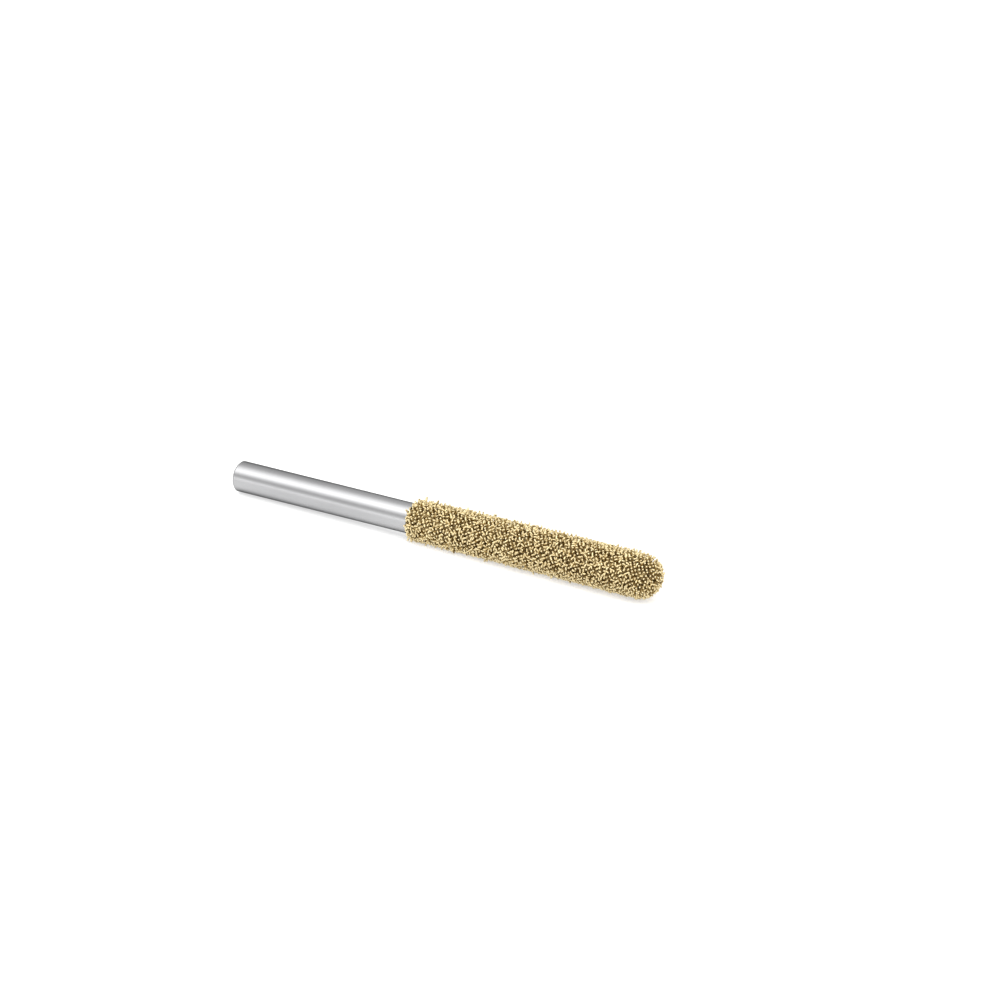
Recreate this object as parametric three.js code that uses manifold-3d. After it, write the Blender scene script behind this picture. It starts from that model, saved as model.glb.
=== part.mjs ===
// A soldering-tip cleaning brush: short brass bristles soldered all over a round-nosed core, on a
// plain round steel shank. Millimetres. X runs along the tool, from the centre of the shank's rear
// face to the tip of the nose, and +Z is up. Every piece is turned about a local Y axis, which the
// inner group lays along X.
import * as THREE from "three";
import { mergeVertices } from "three/addons/utils/BufferGeometryUtils.js";
import Module from "manifold-3d";

const wasm = await Module();
wasm.setup();

// Driving dimensions
const shankDiameter = 3.0; // a standard collet size
const shankLength = 19.8; // from the rear face to the shoulder where the brush starts
const shankChamfer = 0.2;
const spigotDiameter = 1.2; // turned on the shank's front end, inside the core
const spigotLength = 9.0;
const spigotChamfer = 0.15;
const jointFilm = 0.06; // solder between spigot and bore, and between shoulder and core
const coreDiameter = 2.3;
const boreEndRoom = 0.3; // the bore goes this far past the spigot
const drillPointDepth = 0.35;
const bedWall = 0.1; // the solder skin on the core that holds the bristles' feet
const brushLength = 27.8; // from the shoulder to the tip of the nose
const brushRearDiameter = 4.2;
const brushFrontDiameter = 4.6;
const rootWall = 0.12; // the thin ring that joins the bristles of one node
const bristleRoom = 0.01; // between a bristle's foot and the edge of its own facet
const bristleRootDepth = 0.06; // how far a bristle's foot sinks into its ring
const clearance = 0.02; // between pieces that are bonded on the real tool

// Counts
const turnedSides = 24;
const bristleSides = 3;
const bristlesPerRow = turnedSides / 2; // each stands on a flat, and the next row uses the others
const rowsPerNode = 3;
const rowNodes = 16;
const noseNodes = 3;
const noseRowsPerNode = 2;
const fewestBristles = 3;

// Sizes that follow from those
const shankRadius = shankDiameter / 2;
const spigotRadius = spigotDiameter / 2;
const spigotEnd = shankLength + spigotLength;
const coreRadius = coreDiameter / 2;
const coreStart = shankLength + jointFilm;
const boreRadius = spigotRadius + jointFilm;
const filmGap = jointFilm / 6; // left free on each side of the joint's solder
const bedInner = coreRadius + clearance;
const bedOuter = bedInner + bedWall;
const pileStart = coreStart + clearance;
const rootInner = bedOuter + clearance;
const rootOuter = rootInner + rootWall;
const footRadius = rootOuter - bristleRootDepth;
const noseRadius = brushFrontDiameter / 2;
const noseCentre = shankLength + brushLength - noseRadius;
const noseFacetAngle = Math.PI / 2 / (noseNodes * noseRowsPerNode); // one facet behind each row
const poleAngle = Math.PI / 2;
const bristleRadius = footRadius * Math.tan(noseFacetAngle / 2) - bristleRoom; // fills its facet

const steel = new THREE.MeshStandardMaterial({ color: 0xc4c5c6, roughness: 0.3, metalness: 1 });
const brass = new THREE.MeshStandardMaterial({ color: 0xb59a5c, roughness: 0.42, metalness: 1 });
const coreBrass = new THREE.MeshStandardMaterial({ color: 0x9c8048, roughness: 0.5, metalness: 1 });
const solder = new THREE.MeshStandardMaterial({ color: 0x8a8478, roughness: 0.55, metalness: 1 });

const tool = new THREE.Group();
tool.rotation.z = -Math.PI / 2;

function addPiece(name, geometry, material) {
  const mesh = new THREE.Mesh(geometry, material);
  mesh.name = name;
  tool.add(mesh);
}

// A body of revolution from pairs of radius and distance along the tool.
function turned(profile) {
  const points = profile.map(([radius, along]) => new THREE.Vector2(radius, along));
  return new THREE.LatheGeometry(points, turnedSides);
}

// Profile points on a ball about the nose's centre, at 0 on its widest ring and at a right angle
// on its pole.
function noseArc(radius, fromAngle, toAngle) {
  const steps = Math.max(1, Math.round(Math.abs(toAngle - fromAngle) / noseFacetAngle));
  return Array.from({ length: steps + 1 }, (_, i) => {
    const angle = THREE.MathUtils.lerp(fromAngle, toAngle, i / steps);
    const onAxis = Math.abs(angle - poleAngle) < 1e-9;
    return [onAxis ? 0 : radius * Math.cos(angle), noseCentre + radius * Math.sin(angle)];
  });
}

function solidOf(geometry) {
  const bare = geometry.clone();
  bare.deleteAttribute("normal");
  bare.deleteAttribute("uv");
  const merged = mergeVertices(bare, 1e-5);
  const mesh = new wasm.Mesh({
    numProp: 3,
    vertProperties: merged.attributes.position.array,
    triVerts: new Uint32Array(merged.index.array),
  });
  return new wasm.Manifold(mesh);
}

function joined(geometries) {
  const mesh = wasm.Manifold.union(geometries.map(solidOf)).getMesh();
  const geometry = new THREE.BufferGeometry();
  geometry.setAttribute("position", new THREE.BufferAttribute(mesh.vertProperties, 3));
  geometry.setIndex(new THREE.BufferAttribute(mesh.triVerts, 1));
  return geometry;
}

function makeShank() {
  const profile = [
    [0, 0],
    [shankRadius - shankChamfer, 0],
    [shankRadius, shankChamfer],
    [shankRadius, shankLength],
    [spigotRadius, shankLength],
    [spigotRadius, spigotEnd - spigotChamfer],
    [spigotRadius - spigotChamfer, spigotEnd],
    [0, spigotEnd],
  ];
  addPiece("shank", turned(profile), steel);
}

// A film round the spigot, with a washer of solder where the core meets the shoulder.
function makeSolderJoint() {
  const inner = spigotRadius + filmGap;
  const outer = boreRadius - filmGap;
  const rear = shankLength + filmGap;
  const washerFront = coreStart - filmGap;
  const profile = [
    [inner, rear],
    [coreRadius, rear],
    [coreRadius, washerFront],
    [outer, washerFront],
    [outer, spigotEnd],
    [inner, spigotEnd],
    [inner, rear],
  ];
  addPiece("solder_joint", turned(profile), solder);
}

function makeCore() {
  const boreEnd = spigotEnd + boreEndRoom;
  const profile = [
    [0, boreEnd + drillPointDepth],
    [boreRadius, boreEnd],
    [boreRadius, coreStart],
    [coreRadius, coreStart],
    ...noseArc(coreRadius, 0, poleAngle),
  ];
  addPiece("core", turned(profile), coreBrass);
}

function makeSolderBed() {
  const profile = [
    ...noseArc(bedInner, poleAngle, 0),
    [bedInner, pileStart],
    [bedOuter, pileStart],
    ...noseArc(bedOuter, 0, poleAngle),
  ];
  addPiece("solder_bed", turned(profile), solder);
}

// One bristle, a little thicker than a real wire. It starts at footRadius from a point on the axis,
// leans towards the nose by `lean`, and is cut square at tipRadius.
function bristle(tipRadius, along, lean, turn) {
  const corners = Array.from({ length: bristleSides }, (_, i) => {
    const angle = (2 * Math.PI * i) / bristleSides;
    return new THREE.Vector2(bristleRadius * Math.sin(angle), -bristleRadius * Math.cos(angle));
  });
  const cut = { depth: tipRadius - footRadius, bevelEnabled: false };
  const geometry = new THREE.ExtrudeGeometry(new THREE.Shape(corners), cut);
  geometry.translate(0, 0, footRadius);
  geometry.rotateX(-lean);
  geometry.rotateY(turn);
  geometry.translate(0, along, 0);
  return geometry;
}

// Bristles spread evenly round one row. Odd rows are turned by half a step.
function bristleRow(count, rowIndex, tipRadius, along, lean = 0) {
  const step = (2 * Math.PI) / count;
  const start = rowIndex % 2 ? 0.75 * step : 0.25 * step;
  return Array.from({ length: count }, (_, i) => bristle(tipRadius, along, lean, start + i * step));
}

function pileRadiusAt(along) {
  const share = (along - pileStart) / (noseCentre - pileStart);
  return THREE.MathUtils.lerp(brushRearDiameter, brushFrontDiameter, share) / 2;
}

// The straight part of the brush, in rings.
function makeBristleRows() {
  const nodeLength = (noseCentre - pileStart) / rowNodes;
  for (let node = 0; node < rowNodes; node++) {
    const from = pileStart + node * nodeLength;
    const to = from + nodeLength - clearance;
    const root = turned([
      [rootInner, from],
      [rootOuter, from],
      [rootOuter, to],
      [rootInner, to],
      [rootInner, from],
    ]);
    const rows = [];
    for (let row = 0; row < rowsPerNode; row++) {
      const along = THREE.MathUtils.lerp(from, to, (row + 0.5) / rowsPerNode);
      const rowIndex = node * rowsPerNode + row;
      rows.push(...bristleRow(bristlesPerRow, rowIndex, pileRadiusAt(along), along));
    }
    addPiece("bristle_row_" + String(node + 1).padStart(2, "0"), joined([root, ...rows]), brass);
  }
}

// The round nose, in rings whose bristles stand square to the ball, and a cap on its pole.
function makeBristleNose() {
  const nodeAngle = noseRowsPerNode * noseFacetAngle;
  const gapAngle = clearance / rootInner;
  for (let node = 0; node < noseNodes; node++) {
    const from = node * nodeAngle;
    const isCap = node === noseNodes - 1;
    const to = isCap ? poleAngle : from + nodeAngle - gapAngle;
    const profile = [...noseArc(rootInner, to, from), ...noseArc(rootOuter, from, to)];
    const root = turned(isCap ? profile : [...profile, profile[0]]);
    const rows = [];
    for (let row = 0; row < noseRowsPerNode; row++) {
      const lean = from + (row + 0.5) * noseFacetAngle;
      const count = Math.max(fewestBristles, Math.round(bristlesPerRow * Math.cos(lean)));
      rows.push(...bristleRow(count, row, noseRadius, noseCentre, lean));
    }
    addPiece("bristle_nose_" + (node + 1), joined([root, ...rows]), brass);
  }
}

makeShank();
makeSolderJoint();
makeCore();
makeSolderBed();
makeBristleRows();
makeBristleNose();

const brush = new THREE.Group();
brush.name = "tip_cleaning_brush";
brush.add(tool);

export default brush;
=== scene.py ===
import math
import random

import bmesh
import bpy
from mathutils import Matrix, Vector, noise


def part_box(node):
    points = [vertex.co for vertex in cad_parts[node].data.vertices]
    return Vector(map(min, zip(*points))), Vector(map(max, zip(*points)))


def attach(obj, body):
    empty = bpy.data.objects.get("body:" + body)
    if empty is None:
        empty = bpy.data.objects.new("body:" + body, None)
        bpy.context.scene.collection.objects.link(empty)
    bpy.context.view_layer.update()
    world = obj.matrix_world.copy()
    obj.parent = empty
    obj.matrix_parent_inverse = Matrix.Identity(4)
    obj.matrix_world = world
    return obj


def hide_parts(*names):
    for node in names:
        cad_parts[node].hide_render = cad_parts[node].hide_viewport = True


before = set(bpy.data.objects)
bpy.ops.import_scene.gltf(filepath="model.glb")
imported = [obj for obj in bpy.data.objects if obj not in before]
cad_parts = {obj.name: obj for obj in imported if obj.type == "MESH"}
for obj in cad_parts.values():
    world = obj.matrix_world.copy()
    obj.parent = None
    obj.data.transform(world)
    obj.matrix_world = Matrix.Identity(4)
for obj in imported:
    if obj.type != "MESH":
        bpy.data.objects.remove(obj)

# Soldering-tip cleaning brush, in metres. It lies along X: the shank's rear face at the origin,
# the round nose at +X.
mm = 0.001
body = "root"
scene = bpy.context.scene
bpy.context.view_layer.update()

shankLow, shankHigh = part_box("shank")
jointLow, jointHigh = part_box("solder_joint")
coreLow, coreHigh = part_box("core")
bedLow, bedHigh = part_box("solder_bed")
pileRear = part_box("bristle_row_01")[0].x
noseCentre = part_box("bristle_nose_1")[0].x  # the straight pile ends here and the ball begins

cameraSetup = {
    "azimuth": 32.3,  # degrees round from the tool's side towards its nose
    "elevation": 23.1,
    "lens": 800,  # a long lens: the shank doesn't narrow towards its far end
    "sensor": 36,
    "viewWidth": 95.9 * mm,  # what the view spans at the tool
    "aimRight": 24.95 * mm,  # from the shank's rear face to the middle of the view
    "aimUp": -2.34 * mm,
    "clipNear": 0.1,  # of the camera's distance
    "clipFar": 4,
}


def addCamera(setup):
    turn = math.radians(setup["azimuth"])
    rise = math.radians(setup["elevation"])
    toCamera = Vector((
        math.sin(turn) * math.cos(rise),
        -math.cos(turn) * math.cos(rise),
        math.sin(rise),
    ))
    right = Vector((math.cos(turn), math.sin(turn), 0))
    up = toCamera.cross(right)
    target = right * setup["aimRight"] + up * setup["aimUp"]
    distance = setup["lens"] * setup["viewWidth"] / setup["sensor"]
    data = bpy.data.cameras.new("camera")
    data.lens = setup["lens"]
    data.sensor_width = setup["sensor"]
    data.clip_start = distance * setup["clipNear"]
    data.clip_end = distance * setup["clipFar"]
    camera = bpy.data.objects.new("camera", data)
    camera.location = target + toCamera * distance
    camera.rotation_mode = "QUATERNION"
    camera.rotation_quaternion = (-toCamera).to_track_quat("-Z", "Y")
    scene.collection.objects.link(camera)
    scene.camera = camera


addCamera(cameraSetup)
print("camera placed")


noiseLow, noiseHigh = 0.3, 0.7  # a noise texture seldom leaves this range


def newMaterial(name, metallic=1.0):
    material = bpy.data.materials.new(name)
    material.use_nodes = True
    nodes = material.node_tree.nodes
    shader = nodes["Principled BSDF"]
    shader.inputs["Metallic"].default_value = metallic
    return material, nodes, material.node_tree.links, shader


def objectNoise(nodes, links, scale, stretch=(1, 1, 1), detail=3.0):
    place = nodes.new("ShaderNodeTexCoord")
    mapping = nodes.new("ShaderNodeMapping")
    mapping.inputs["Scale"].default_value = stretch
    texture = nodes.new("ShaderNodeTexNoise")
    texture.inputs["Scale"].default_value = scale
    texture.inputs["Detail"].default_value = detail
    links.new(place.outputs["Object"], mapping.inputs["Vector"])
    links.new(mapping.outputs["Vector"], texture.inputs["Vector"])
    return texture.outputs["Fac"]


def colourRamp(nodes, links, source, stops):
    ramp = nodes.new("ShaderNodeValToRGB")
    elements = ramp.color_ramp.elements
    while len(elements) < len(stops):
        elements.new(0.5)
    for element, (position, colour) in zip(elements, stops):
        element.position = position
        element.color = (*colour, 1)
    links.new(source, ramp.inputs["Fac"])
    return ramp.outputs["Color"]


def twoTone(nodes, links, source, finish):
    return colourRamp(nodes, links, source, [
        (noiseLow, finish["dark"]),
        (noiseHigh, finish["light"]),
    ])


def rangeOf(nodes, links, source, low, high):
    spread = nodes.new("ShaderNodeMapRange")
    spread.inputs["To Min"].default_value = low
    spread.inputs["To Max"].default_value = high
    links.new(source, spread.inputs["Value"])
    return spread.outputs["Result"]


def tintBy(nodes, links, first, second):
    mix = nodes.new("ShaderNodeMix")
    mix.data_type = "RGBA"
    mix.blend_type = "MULTIPLY"
    mix.inputs["Factor"].default_value = 1.0
    links.new(first, mix.inputs["A"])
    links.new(second, mix.inputs["B"])
    return mix.outputs["Result"]


def addBump(nodes, links, shader, height, distance):
    bump = nodes.new("ShaderNodeBump")
    bump.inputs["Distance"].default_value = distance
    links.new(height, bump.inputs["Height"])
    links.new(bump.outputs["Normal"], shader.inputs["Normal"])


def addPiece(name, bm, material, slot, *cadNodes, sharpAngle=35):
    mesh = bpy.data.meshes.new(name)
    bm.to_mesh(mesh)
    bm.free()
    mesh.materials.append(material)
    mesh.shade_smooth()
    mesh.set_sharp_from_angle(angle=math.radians(sharpAngle))
    piece = bpy.data.objects.new(name, mesh)
    scene.collection.objects.link(piece)
    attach(piece, body)
    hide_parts(*cadNodes)


steel = {
    "dark": (0.33, 0.33, 0.335),
    "light": (0.4, 0.4, 0.405),
    "roughness": (0.08, 0.26),
    "edgeTint": (0.24, 0.24, 0.24, 1),  # of what it reflects at a grazing angle
    "markScale": 3000,
    "markStretch": (1, 0.06, 0.06),  # the grinding wheel's marks run round the shank
    "markDepth": 0.012 * mm,
    "cloudScale": 240,
    "cloudStretch": (0.3, 1, 1),
}


def makeGroundSteel():
    material, nodes, links, shader = newMaterial("groundSteel")
    shader.inputs["Specular Tint"].default_value = steel["edgeTint"]
    marks = objectNoise(nodes, links, steel["markScale"], steel["markStretch"], detail=4)
    cloud = objectNoise(nodes, links, steel["cloudScale"], steel["cloudStretch"])
    links.new(twoTone(nodes, links, cloud, steel), shader.inputs["Base Color"])
    links.new(rangeOf(nodes, links, marks, *steel["roughness"]), shader.inputs["Roughness"])
    addBump(nodes, links, shader, marks, steel["markDepth"])
    return material


brass = {
    "tints": [  # one for each wire
        (0.0, (0.66, 0.55, 0.325)),
        (0.5, (0.725, 0.61, 0.365)),
        (1.0, (0.78, 0.68, 0.435)),
    ],
    "wear": [  # painted shade: darker and browner from each wire's foot, down in the pile, to clean metal at the tip
        (0.0, (0.38, 0.3, 0.15)),
        (0.3, (0.68, 0.6, 0.42)),
        (0.6, (0.96, 0.94, 0.88)),
        (1.0, (1, 1, 1)),
    ],
    "roughness": (0.36, 0.56),
    "grainScale": 5200,
    "grainDepth": 0.008 * mm,
}


def makeBrassWire():
    material, nodes, links, shader = newMaterial("brassWire")
    tint = nodes.new("ShaderNodeAttribute")
    tint.attribute_name = "wireTint"
    reach = nodes.new("ShaderNodeAttribute")
    reach.attribute_name = "wireReach"
    colour = colourRamp(nodes, links, tint.outputs["Fac"], brass["tints"])
    # painted shade: each wire's colour is multiplied darker and browner towards its foot, deep in
    # the pile
    wear = colourRamp(nodes, links, reach.outputs["Fac"], brass["wear"])
    links.new(tintBy(nodes, links, colour, wear), shader.inputs["Base Color"])
    grain = objectNoise(nodes, links, brass["grainScale"])
    links.new(rangeOf(nodes, links, grain, *brass["roughness"]), shader.inputs["Roughness"])
    addBump(nodes, links, shader, grain, brass["grainDepth"])
    return material


coreFinish = {
    "dark": (0.34, 0.25, 0.12),
    "light": (0.5, 0.39, 0.2),
    "roughness": (0.38, 0.6),
    "scale": 900,
    "depth": 0.01 * mm,
}
solderFinish = {
    "dark": (0.3, 0.22, 0.1),
    "light": (0.46, 0.36, 0.18),
    "roughness": (0.38, 0.6),
    "scale": 1600,
    "depth": 0.02 * mm,
}


def makeCloudedMetal(name, finish):
    material, nodes, links, shader = newMaterial(name)
    cloud = objectNoise(nodes, links, finish["scale"], detail=4)
    links.new(twoTone(nodes, links, cloud, finish), shader.inputs["Base Color"])
    links.new(rangeOf(nodes, links, cloud, *finish["roughness"]), shader.inputs["Roughness"])
    addBump(nodes, links, shader, cloud, finish["depth"])
    return material


groundSteel = makeGroundSteel()
brassWire = makeBrassWire()
coreBrass = makeCloudedMetal("coreBrass", coreFinish)
hardSolder = makeCloudedMetal("hardSolder", solderFinish)
print("materials made")

turning = {
    "steps": 128,
    "noseSteps": 24,
    "sharpCorner": 30,  # degrees: corners sharper than this are rounded
    "roundSegments": 4,
    "weld": 1e-8,  # joins what the spin leaves on the axis
}


def turned(points, closed=False, rounding=0.0):
    # points are pairs of distance along the tool and radius
    bm = bmesh.new()
    line = [bm.verts.new((x, 0, radius)) for x, radius in points]
    edges = [bm.edges.new(pair) for pair in zip(line, line[1:])]
    if closed:
        edges.append(bm.edges.new((line[-1], line[0])))
    bmesh.ops.spin(
        bm, geom=line + edges, cent=(0, 0, 0), axis=(1, 0, 0), dvec=(0, 0, 0),
        angle=2 * math.pi, steps=turning["steps"], use_merge=True,
    )
    bmesh.ops.remove_doubles(bm, verts=bm.verts, dist=turning["weld"])
    bmesh.ops.recalc_face_normals(bm, faces=bm.faces)
    if rounding:
        sharp = math.radians(turning["sharpCorner"])
        corners = [e for e in bm.edges if e.is_manifold and e.calc_face_angle() > sharp]
        bmesh.ops.bevel(
            bm, geom=corners, offset=rounding, offset_type="OFFSET",
            segments=turning["roundSegments"], profile=0.5, affect="EDGES", material=-1,
        )
    return bm


def noseArc(radius, centre, fromPole=False):
    steps = turning["noseSteps"]
    angles = [math.pi / 2 * i / steps for i in range(steps)]
    points = [(centre + radius * math.sin(a), radius * math.cos(a)) for a in angles]
    points.append((centre + radius, 0.0))
    return points[::-1] if fromPole else points


shank = {
    "chamfer": 0.2 * mm,
    "edgeRound": 0.05 * mm,
    "shoulderRoom": 0.01 * mm,  # between the shoulder and the solder
    "spigotRadius": 0.6 * mm,
    "spigotChamfer": 0.15 * mm,
}


def makeShank():
    radius = shankHigh.z
    shoulder = jointLow.x - shank["shoulderRoom"]
    end = shankHigh.x
    spigot = shank["spigotRadius"]
    chamfer = shank["chamfer"]
    spigotChamfer = shank["spigotChamfer"]
    bm = turned([
        (0, 0),
        (0, radius - chamfer),
        (chamfer, radius),
        (shoulder, radius),
        (shoulder, spigot),
        (end - spigotChamfer, spigot),
        (end, spigot - spigotChamfer),
        (end, 0),
    ], rounding=shank["edgeRound"])
    addPiece("shankGround", bm, groundSteel, "ground_steel", "shank")


solderJoint = {
    "filmInner": 0.61 * mm,  # radius on the spigot
    "filmOuter": 0.65 * mm,
    "washer": 0.04 * mm,  # thickness between shank and core
}


def makeSolderJoint():
    inner, outer = solderJoint["filmInner"], solderJoint["filmOuter"]
    washerFront = jointLow.x + solderJoint["washer"]
    bm = turned([
        (jointLow.x, inner),
        (jointLow.x, jointHigh.z),
        (washerFront, jointHigh.z),
        (washerFront, outer),
        (jointHigh.x, outer),
        (jointHigh.x, inner),
    ], closed=True)
    addPiece("solderFilm", bm, hardSolder, "hard_solder", "solder_joint")


core = {
    "boreRadius": 0.66 * mm,
    "boreRoom": 0.3 * mm,  # beyond the end of the spigot
    "drillPoint": 0.35 * mm,
    "edgeRound": 0.01 * mm,
}


def makeCore():
    radius = coreHigh.z
    bore = core["boreRadius"]
    boreEnd = shankHigh.x + core["boreRoom"]
    bm = turned([
        (boreEnd + core["drillPoint"], 0),
        (boreEnd, bore),
        (coreLow.x, bore),
        (coreLow.x, radius),
        *noseArc(radius, coreHigh.x - radius),
    ], rounding=core["edgeRound"])
    addPiece("coreTurned", bm, coreBrass, "core_brass", "core")


solderBed = {
    "room": 0.02 * mm,  # between it and the core
    "stretches": 130,
    "lump": 0.035 * mm,  # mean height of the waves
    "lumpSize": 0.22 * mm,
}


def makeSolderBed():
    inner = coreHigh.z + solderBed["room"]
    outer = bedHigh.z
    rear = bedLow.x
    stretches = solderBed["stretches"]
    straight = [(rear + (noseCentre - rear) * i / stretches, outer) for i in range(stretches)]
    bm = turned([
        *noseArc(inner, noseCentre, fromPole=True),
        (rear, inner),
        *straight,
        *noseArc(outer, noseCentre),
    ])
    middle = (inner + outer) / 2
    for vert in bm.verts:  # the solder froze in small waves and climbs the feet of the wires
        spine = Vector((min(vert.co.x, noseCentre), 0, 0))
        away = vert.co - spine
        if away.length > middle and vert.co.x > rear + solderBed["room"]:
            wave = noise.noise(vert.co / solderBed["lumpSize"])
            vert.co += away.normalized() * solderBed["lump"] * (1 + wave)
    addPiece("solderBed", bm, hardSolder, "hard_solder", "solder_bed")


makeShank()
makeSolderJoint()
makeCore()
makeSolderBed()
print("turned pieces made")

wires = {
    "seed": 11,
    "thickness": 0.18 * mm,
    "sides": 6,
    "steps": 6,
    "stem": 4,  # steps before a wire turns over
    "bendSteps": 2,  # steps in which it turns over
    "shapes": 24,  # curled ones, and as many straight ones
    "curl": (70, 105),  # degrees
    "straightCurl": (0, 25),
    "kink": 10,  # degrees at each step, at most, to any side
    "straightShare": 0.15,  # of the wires on the straight pile
    "straightOnBall": 0.7,
    "tipLength": 0.03 * mm,
    "tipShare": 0.72,  # of the wire's thickness, at the cut face
    "reachBelowTip": 0.9,  # how far a wire's painted foot shade has faded just below its cut face, which is 1
    "shapeLength": 1.15 * mm,  # before it is stretched from its foot to its tip
    "perSquareMm": 8.0,  # at the pile's surface
    "scatter": 0.15,  # of the spacing between wires
    "footDepth": 0.03 * mm,  # in the solder
    "footShift": 0.18 * mm,  # how far a foot strays from straight below its tip
    "footShiftMost": 0.8 * mm,
    "rearRadius": 2.08 * mm,  # of the trimmed pile
    "frontRadius": 2.27 * mm,
    "lengthSpread": 0.045 * mm,  # how unevenly the pile is trimmed
    "lengthSpreadMost": 0.08 * mm,
    "longShare": 0.14,  # wires that the trimming missed
    "longRadius": 2.42 * mm,  # the most that they reach
    "rearRound": 0.4 * mm,  # the pile's rear edge
    "rearTipRoom": 0.08 * mm,  # from the pile's rear end to the nearest cut tip
    "rearFootRoom": 0.12 * mm,
    "topHeight": 0.999,  # of the ball, so that no wire stands exactly on its pole
    "sharpAngle": 65,  # degrees: the sides are smooth and the cut faces stay sharp
}
goldenAngle = math.pi * (3 - math.sqrt(5))
chance = random.Random(wires["seed"])


def wireShape(curlRange):
    # one bristle that starts on Z, then curls over, with a cut and burred tip
    curl = math.radians(chance.uniform(*curlRange))
    bm = bmesh.new()
    reach = bm.verts.layers.float.new("wireReach")
    bm.verts.layers.float.new("wireTint")
    bmesh.ops.create_circle(
        bm, cap_ends=True, segments=wires["sides"], radius=wires["thickness"] / 2,
    )
    bm.faces.ensure_lookup_table()
    top = bm.faces[0]
    step = wires["shapeLength"] / wires["steps"]
    centre = Vector((0, 0, 0))
    upper = []
    heading = Matrix.Identity(3)
    for i in range(wires["steps"] + 1):
        isTip = i == wires["steps"]
        grown = bmesh.ops.extrude_face_region(bm, geom=[top])["geom"]
        ring = [g for g in grown if isinstance(g, bmesh.types.BMVert)]
        top = [g for g in grown if isinstance(g, bmesh.types.BMFace)][0]
        move = heading @ Vector((0, 0, wires["tipLength"] if isTip else step))
        bmesh.ops.translate(bm, verts=ring, vec=move)
        centre = centre + move
        if isTip:
            share = wires["tipShare"]
            bmesh.ops.scale(bm, verts=ring, vec=(share,) * 3, space=Matrix.Translation(-centre))
        else:
            kink = math.radians(chance.uniform(-wires["kink"], wires["kink"]))
            side = chance.uniform(0, math.pi)
            turn = Matrix.Rotation(kink, 3, (math.cos(side), math.sin(side), 0))
            if wires["stem"] <= i + 1 < wires["stem"] + wires["bendSteps"]:
                turn = Matrix.Rotation(curl / wires["bendSteps"], 3, "X") @ turn
            bmesh.ops.rotate(bm, verts=ring, cent=centre, matrix=turn)
            heading = turn @ heading
        for vert in ring:
            vert[reach] = 1.0 if isTip else wires["reachBelowTip"] * (i + 1) / wires["steps"]
        if i >= wires["stem"]:
            upper.append(centre)
    middle = sum(upper, Vector()) / len(upper)
    # turned so that the middle of its upper part stands straight above its foot
    upright = middle.rotation_difference(Vector((0, 0, 1))).to_matrix().to_4x4()
    bmesh.ops.transform(bm, matrix=upright, verts=bm.verts)
    bmesh.ops.recalc_face_normals(bm, faces=bm.faces)
    height = max(vert.co.z for vert in bm.verts)
    mesh = bpy.data.meshes.new("wireShape")
    bm.to_mesh(mesh)
    bm.free()
    return mesh, height


def pileRadiusAt(x):
    share = max(0.0, (x - pileRear) / (noseCentre - pileRear))
    radius = wires["rearRadius"] + (wires["frontRadius"] - wires["rearRadius"]) * share
    inRound = wires["rearRound"] - (x - pileRear)
    if inRound > 0:
        radius -= wires["rearRound"] - math.sqrt(wires["rearRound"] ** 2 - inRound**2)
    return radius


def tipsOnPile():
    # cut tips spread evenly: a golden spiral on the straight pile, and on over the ball
    spacing = mm / math.sqrt(wires["perSquareMm"])
    length = noseCentre - pileRear
    radius = (wires["rearRadius"] + wires["frontRadius"]) / 2
    onPile = round(wires["perSquareMm"] * 2 * math.pi * radius * length / mm**2)
    onBall = round(wires["perSquareMm"] * 2 * math.pi * wires["frontRadius"] ** 2 / mm**2)
    scatter = wires["scatter"]
    most = wires["lengthSpreadMost"]
    tips = []
    for i in range(onPile + onBall):
        shift = chance.uniform(-1, 1) * scatter * spacing
        angle = goldenAngle * i + chance.uniform(-1, 1) * scatter * spacing / radius
        trim = max(-most, min(most, chance.gauss(0, wires["lengthSpread"])))
        isLong = chance.random() < wires["longShare"]
        if i < onPile:
            x = pileRear + length * (i + 0.5) / onPile + shift
            x = max(pileRear + wires["rearTipRoom"], min(noseCentre, x))
            across = pileRadiusAt(x) + trim
            if isLong:
                across = chance.uniform(across, wires["longRadius"])
        else:
            height = (i - onPile + 0.5) / onBall + shift / wires["frontRadius"]
            height = max(0.0, min(wires["topHeight"], height))
            if isLong:
                trim = chance.uniform(trim, wires["longRadius"] - wires["frontRadius"])
            x = noseCentre + (wires["frontRadius"] + trim) * height
            across = (wires["frontRadius"] + trim) * math.sqrt(1 - height * height)
        tips.append((Vector((x, across * math.cos(angle), across * math.sin(angle))), isLong))
    return tips


def outFrom(point, radius):
    # the nearest place to a point on a rod of that radius with a ball end
    rear = pileRear + wires["rearFootRoom"]
    spine = Vector((max(rear, min(noseCentre, point.x)), 0, 0))
    away = point - spine
    if point.x < rear:
        away.x = 0
    return spine + away.normalized() * radius


def footOf(tip):
    radius = bedHigh.z - wires["footDepth"]
    below = outFrom(tip, radius)
    normal = (tip - below).normalized()
    side = normal.orthogonal().normalized()
    other = normal.cross(side)
    shift = side * chance.gauss(0, wires["footShift"]) + other * chance.gauss(0, wires["footShift"])
    if shift.length > wires["footShiftMost"]:
        shift = shift.normalized() * wires["footShiftMost"]
    return outFrom(below + shift, radius)


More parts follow.
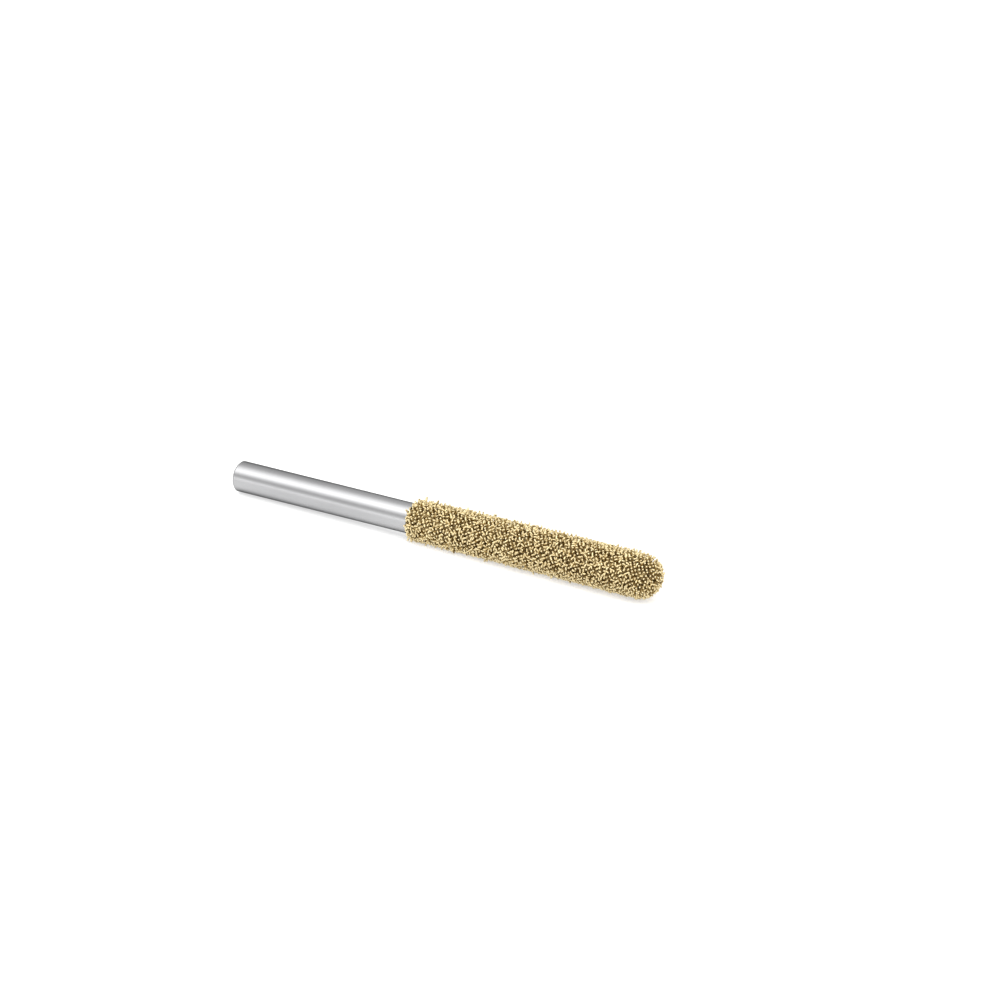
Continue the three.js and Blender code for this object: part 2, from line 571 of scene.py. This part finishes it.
def addWire(bm, curled, straight, foot, tip, isLong):
    share = wires["straightShare"] if tip.x < noseCentre else wires["straightOnBall"]
    mesh, height = chance.choice(straight if isLong or chance.random() < share else curled)
    direction = tip - foot
    stretch = Matrix.Diagonal((1, 1, direction.length / height, 1))
    spin = Matrix.Rotation(chance.uniform(0, 2 * math.pi), 4, "Z")
    aim = direction.to_track_quat("Z", "Y").to_matrix().to_4x4()
    before = len(bm.verts)
    bm.from_mesh(mesh)
    bm.verts.ensure_lookup_table()
    new = bm.verts[before:]
    tint = bm.verts.layers.float["wireTint"]
    value = chance.random()
    for vert in new:
        vert[tint] = value
    bmesh.ops.transform(bm, matrix=Matrix.Translation(foot) @ aim @ stretch @ spin, verts=new)


def nodeOf(tip, rows, noses):
    if tip.x <= noseCentre:
        share = (tip.x - pileRear) / (noseCentre - pileRear)
        return rows[min(len(rows) - 1, int(share * len(rows)))]
    rise = math.atan2(tip.x - noseCentre, math.hypot(tip.y, tip.z)) / (math.pi / 2)
    return noses[min(len(noses) - 1, int(rise * len(noses)))]


def makeBristles():
    curled = [wireShape(wires["curl"]) for _ in range(wires["shapes"])]
    straight = [wireShape(wires["straightCurl"]) for _ in range(wires["shapes"])]
    rows = sorted(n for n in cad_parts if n.startswith("bristle_row_"))
    noses = sorted(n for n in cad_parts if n.startswith("bristle_nose_"))
    groups = {node: [] for node in rows + noses}
    tips = tipsOnPile()
    for tip, isLong in tips:
        groups[nodeOf(tip, rows, noses)].append((tip, isLong))
    for node, group in groups.items():
        bm = bmesh.new()
        bm.verts.layers.float.new("wireReach")
        bm.verts.layers.float.new("wireTint")
        for tip, isLong in group:
            addWire(bm, curled, straight, footOf(tip), tip, isLong)
        name = "wires" + node.replace("bristle", "").replace("_", " ").title().replace(" ", "")
        addPiece(name, bm, brassWire, "brass_wire", node, sharpAngle=wires["sharpAngle"])
    for mesh, _ in curled + straight:
        bpy.data.meshes.remove(mesh)
    print("bristles made:", len(tips))


makeBristles()

studio = {
    "floorSize": 6.0,
    "floorColour": (0.6, 0.6, 0.6, 1),
    "floorGlow": 0.5,  # a lit table: it fills the shadow under the tool
    "floorRoughness": 0.16,
    # light round the tool, in degrees from the front horizon over the top to the back horizon
    "tent": [
        (0, 1.9), (14, 1.15), (27, 0.92), (43, 1.75), (55, 2.7), (70, 2.85), (84, 2.35),
        (100, 1.7), (114, 1.2), (128, 1.05), (170, 1.0), (180, 1.0),
    ],
}


def addFloor():
    # the tool lies on its shank's rear edge and on the pile near the nose
    rear = Vector((shank["chamfer"], 0, shankLow.z))
    front = Vector((noseCentre, 0, -wires["frontRadius"]))
    tilt = math.atan2(rear.z - front.z, front.x - rear.x)
    bm = bmesh.new()
    bmesh.ops.create_grid(bm, x_segments=1, y_segments=1, size=studio["floorSize"] / 2)
    bmesh.ops.rotate(bm, verts=bm.verts, cent=(0, 0, 0), matrix=Matrix.Rotation(tilt, 3, "Y"))
    bmesh.ops.translate(bm, verts=bm.verts, vec=rear)
    mesh = bpy.data.meshes.new("floor")
    bm.to_mesh(mesh)
    bm.free()
    material, _, _, shader = newMaterial("paleFloor", metallic=0.0)
    shader.inputs["Base Color"].default_value = studio["floorColour"]
    shader.inputs["Roughness"].default_value = studio["floorRoughness"]
    shader.inputs["Emission Color"].default_value = (1, 1, 1, 1)
    shader.inputs["Emission Strength"].default_value = studio["floorGlow"]
    mesh.materials.append(material)
    floor = bpy.data.objects.new("floor", mesh)
    scene.collection.objects.link(floor)


def addTent():
    world = bpy.data.worlds.new("lightTent")
    scene.world = world
    world.use_nodes = True
    nodes, links = world.node_tree.nodes, world.node_tree.links
    place = nodes.new("ShaderNodeTexCoord")
    split = nodes.new("ShaderNodeSeparateXYZ")
    links.new(place.outputs["Generated"], split.inputs["Vector"])
    front = nodes.new("ShaderNodeMath")
    front.operation = "MULTIPLY"
    front.inputs[1].default_value = -1
    links.new(split.outputs["Y"], front.inputs[0])
    angle = nodes.new("ShaderNodeMath")
    angle.operation = "ARCTAN2"
    links.new(split.outputs["Z"], angle.inputs[0])
    links.new(front.outputs[0], angle.inputs[1])
    share = nodes.new("ShaderNodeMapRange")
    share.inputs["From Max"].default_value = math.pi
    links.new(angle.outputs[0], share.inputs["Value"])
    brightest = max(level for _, level in studio["tent"])
    grey = colourRamp(nodes, links, share.outputs["Result"], [
        (degrees / 180, (level / brightest,) * 3) for degrees, level in studio["tent"]
    ])
    links.new(grey, nodes["Background"].inputs["Color"])
    nodes["Background"].inputs["Strength"].default_value = brightest


addFloor()
addTent()
scene.view_settings.view_transform = "Standard"
print("floor and light placed")
